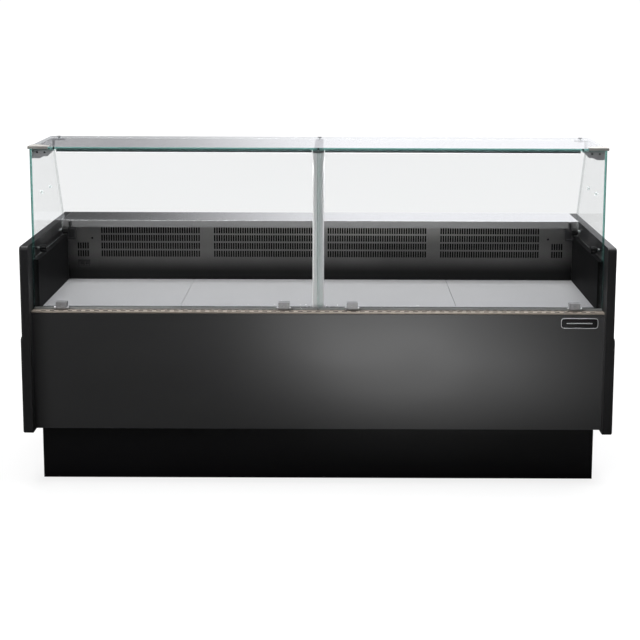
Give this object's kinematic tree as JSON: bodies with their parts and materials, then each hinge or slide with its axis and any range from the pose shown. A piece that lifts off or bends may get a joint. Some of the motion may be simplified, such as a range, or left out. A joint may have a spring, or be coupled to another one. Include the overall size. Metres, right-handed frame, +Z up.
{
  "type": "refrigerated serve-over deli case",
  "caption": "Long refrigerated deli case with straight tilting front glass, glass roof and sides, steel display deck, slotted rear duct, staff worktop and under-deck storage.",
  "frame": {"origin": "on the floor, under the centre of the case's bounding box", "axes": "+Z up, +X to the right along the case as the customer sees it, +Y from the customer's side to the staff side"},
  "size_m": [2.07, 0.79, 1.2],
  "materials": {
    "galvanised_steel": "spangled zinc",
    "zinc_plated_steel": "bright zinc plate",
    "gloss_black_sheet": "gloss",
    "white_coated_steel": "smooth white coat",
    "charcoal_sheet": "satin",
    "black_moulding": "fine texture",
    "black_liner": "satin",
    "champagne_aluminium": "anodised",
    "black_plastic": "moulded",
    "brushed_stainless": "brushed along its length",
    "worktop_stainless": "brushed along its length",
    "deck_stainless": "fine brushed",
    "grey_coated_steel": "satin coat",
    "control_plastic": "moulded",
    "clear_glass": "polished, green edges",
    "cast_zinc": "satin chrome",
    "satin_steel": "satin",
    "satin_aluminium": "anodised",
    "bracket_steel": "satin",
    "grey_aluminium": "anodised",
    "white_diffuser": "opal",
    "black_screws": "blackened",
    "coil_aluminium": "plain fins",
    "drain_plastic": "moulded",
    "unit_steel": "satin",
    "compressor_black": "semi gloss",
    "motor_grey": "satin",
    "copper": "drawn copper",
    "box_plastic": "moulded",
    "clamp_metal": "satin",
    "fan_plastic": "moulded",
    "fan_aluminium": "pressed",
    "knob_plastic": "moulded",
    "door_skin": "satin coat",
    "switch_plastic": "moulded"
  },
  "bodies": {
    "cabinet": {"base_frame": "galvanised_steel", "levelling_feet": "zinc_plated_steel", "plinth": "gloss_black_sheet", "lower_carcass": "white_coated_steel", "front_panel": "charcoal_sheet", "end_panel_left": "black_moulding", "end_panel_right": "black_moulding", "side_liners": "black_liner", "front_rail": "champagne_aluminium", "air_return_grille": "black_plastic", "insulated_tub": "white_coated_steel", "duct_panel_left": "brushed_stainless", "duct_panel_right": "brushed_stainless", "probe_box": "black_plastic", "corner_blocks": "black_plastic", "worktop": "worktop_stainless", "rear_panel": "grey_coated_steel", "control_panel": "control_plastic", "top_glass": "clear_glass", "side_glass_left": "clear_glass", "side_glass_right": "clear_glass", "roof_connectors": "cast_zinc", "corner_covers": "satin_steel", "upright": "satin_aluminium", "upright_brackets": "bracket_steel", "led_profiles": "grey_aluminium", "led_diffusers": "white_diffuser", "roof_screws": "black_screws", "deck_supports": "galvanised_steel", "evaporator_coil": "coil_aluminium", "fan_plate": "galvanised_steel", "fan_frames": "black_plastic", "drain_pipe": "drain_plastic", "unit_base": "unit_steel", "compressor": "compressor_black", "condenser_coil": "coil_aluminium", "condenser_fan_motor": "motor_grey", "refrigerant_pipes": "copper", "electrical_box": "box_plastic", "machine_grille": "grey_coated_steel", "glass_hinge_brackets": "cast_zinc", "door_hinge_brackets": "zinc_plated_steel"},
    "front_pane_left": {"front_glass_left": "clear_glass", "glass_clamps_left": "clamp_metal"},
    "front_pane_right": {"front_glass_right": "clear_glass", "glass_clamps_right": "clamp_metal"},
    "deck_1": {"deck_plate_1": "deck_stainless"},
    "deck_2": {"deck_plate_2": "deck_stainless"},
    "deck_3": {"deck_plate_3": "deck_stainless"},
    "deck_4": {"deck_plate_4": "deck_stainless"},
    "evaporator_rotor_left": {"evaporator_fan_left": "fan_plastic"},
    "evaporator_rotor_right": {"evaporator_fan_right": "fan_plastic"},
    "condenser_rotor": {"condenser_fan": "fan_aluminium"},
    "front_left_knob": {"knob_front_left": "knob_plastic"},
    "rear_left_knob": {"knob_rear_left": "knob_plastic"},
    "front_right_knob": {"knob_front_right": "knob_plastic"},
    "rear_right_knob": {"knob_rear_right": "knob_plastic"},
    "left_door": {"storage_door_left": "door_skin"},
    "right_door": {"storage_door_right": "door_skin"},
    "switch_rocker": {"light_switch": "switch_plastic"}
  },
  "joints": [
    {"name": "front_pane_left_tilt", "type": "hinge", "parent": "cabinet", "child": "front_pane_left", "pos_m": [-0.5, -0.337, 0.632], "axis": [1, 0, 0], "range_deg": [0, 75]},
    {"name": "front_pane_right_tilt", "type": "hinge", "parent": "cabinet", "child": "front_pane_right", "pos_m": [0.5, -0.337, 0.632], "axis": [1, 0, 0], "range_deg": [0, 75]},
    {"name": "deck_plate_1_lift", "type": "slide", "parent": "cabinet", "child": "deck_1", "axis": [0, 0, 1], "range_m": [0, 0.12]},
    {"name": "deck_plate_2_lift", "type": "slide", "parent": "cabinet", "child": "deck_2", "axis": [0, 0, 1], "range_m": [0, 0.12]},
    {"name": "deck_plate_3_lift", "type": "slide", "parent": "cabinet", "child": "deck_3", "axis": [0, 0, 1], "range_m": [0, 0.12]},
    {"name": "deck_plate_4_lift", "type": "slide", "parent": "cabinet", "child": "deck_4", "axis": [0, 0, 1], "range_m": [0, 0.12]},
    {"name": "evaporator_fan_left_spin", "type": "hinge", "parent": "cabinet", "child": "evaporator_rotor_left", "pos_m": [-0.48, 0.09, 0.533], "axis": [0, 1, 0], "continuous": true},
    {"name": "evaporator_fan_right_spin", "type": "hinge", "parent": "cabinet", "child": "evaporator_rotor_right", "pos_m": [0.48, 0.09, 0.533], "axis": [0, 1, 0], "continuous": true},
    {"name": "condenser_fan_spin", "type": "hinge", "parent": "cabinet", "child": "condenser_rotor", "pos_m": [0.66, 0.201, 0.312], "axis": [0, 1, 0], "continuous": true},
    {"name": "front_left_knob_turn", "type": "hinge", "parent": "cabinet", "child": "front_left_knob", "pos_m": [-0.98, -0.235, 0.825], "axis": [1, 0, 0], "continuous": true},
    {"name": "rear_left_knob_turn", "type": "hinge", "parent": "cabinet", "child": "rear_left_knob", "pos_m": [-0.98, 0.155, 0.825], "axis": [1, 0, 0], "continuous": true},
    {"name": "front_right_knob_turn", "type": "hinge", "parent": "cabinet", "child": "front_right_knob", "pos_m": [0.98, -0.235, 0.825], "axis": [1, 0, 0], "continuous": true},
    {"name": "rear_right_knob_turn", "type": "hinge", "parent": "cabinet", "child": "rear_right_knob", "pos_m": [0.98, 0.155, 0.825], "axis": [1, 0, 0], "continuous": true},
    {"name": "left_door_swing", "type": "hinge", "parent": "cabinet", "child": "left_door", "pos_m": [-0.984, 0.373, 0.32], "axis": [0, 0, 1], "range_deg": [0, 100]},
    {"name": "right_door_swing", "type": "hinge", "parent": "cabinet", "child": "right_door", "pos_m": [0.444, 0.373, 0.32], "axis": [0, 0, -1], "range_deg": [0, 100]},
    {"name": "light_switch_rock", "type": "hinge", "parent": "cabinet", "child": "switch_rocker", "pos_m": [0.55, 0.3795, 0.782], "axis": [1, 0, 0], "range_deg": [0, 20]}
  ]
}
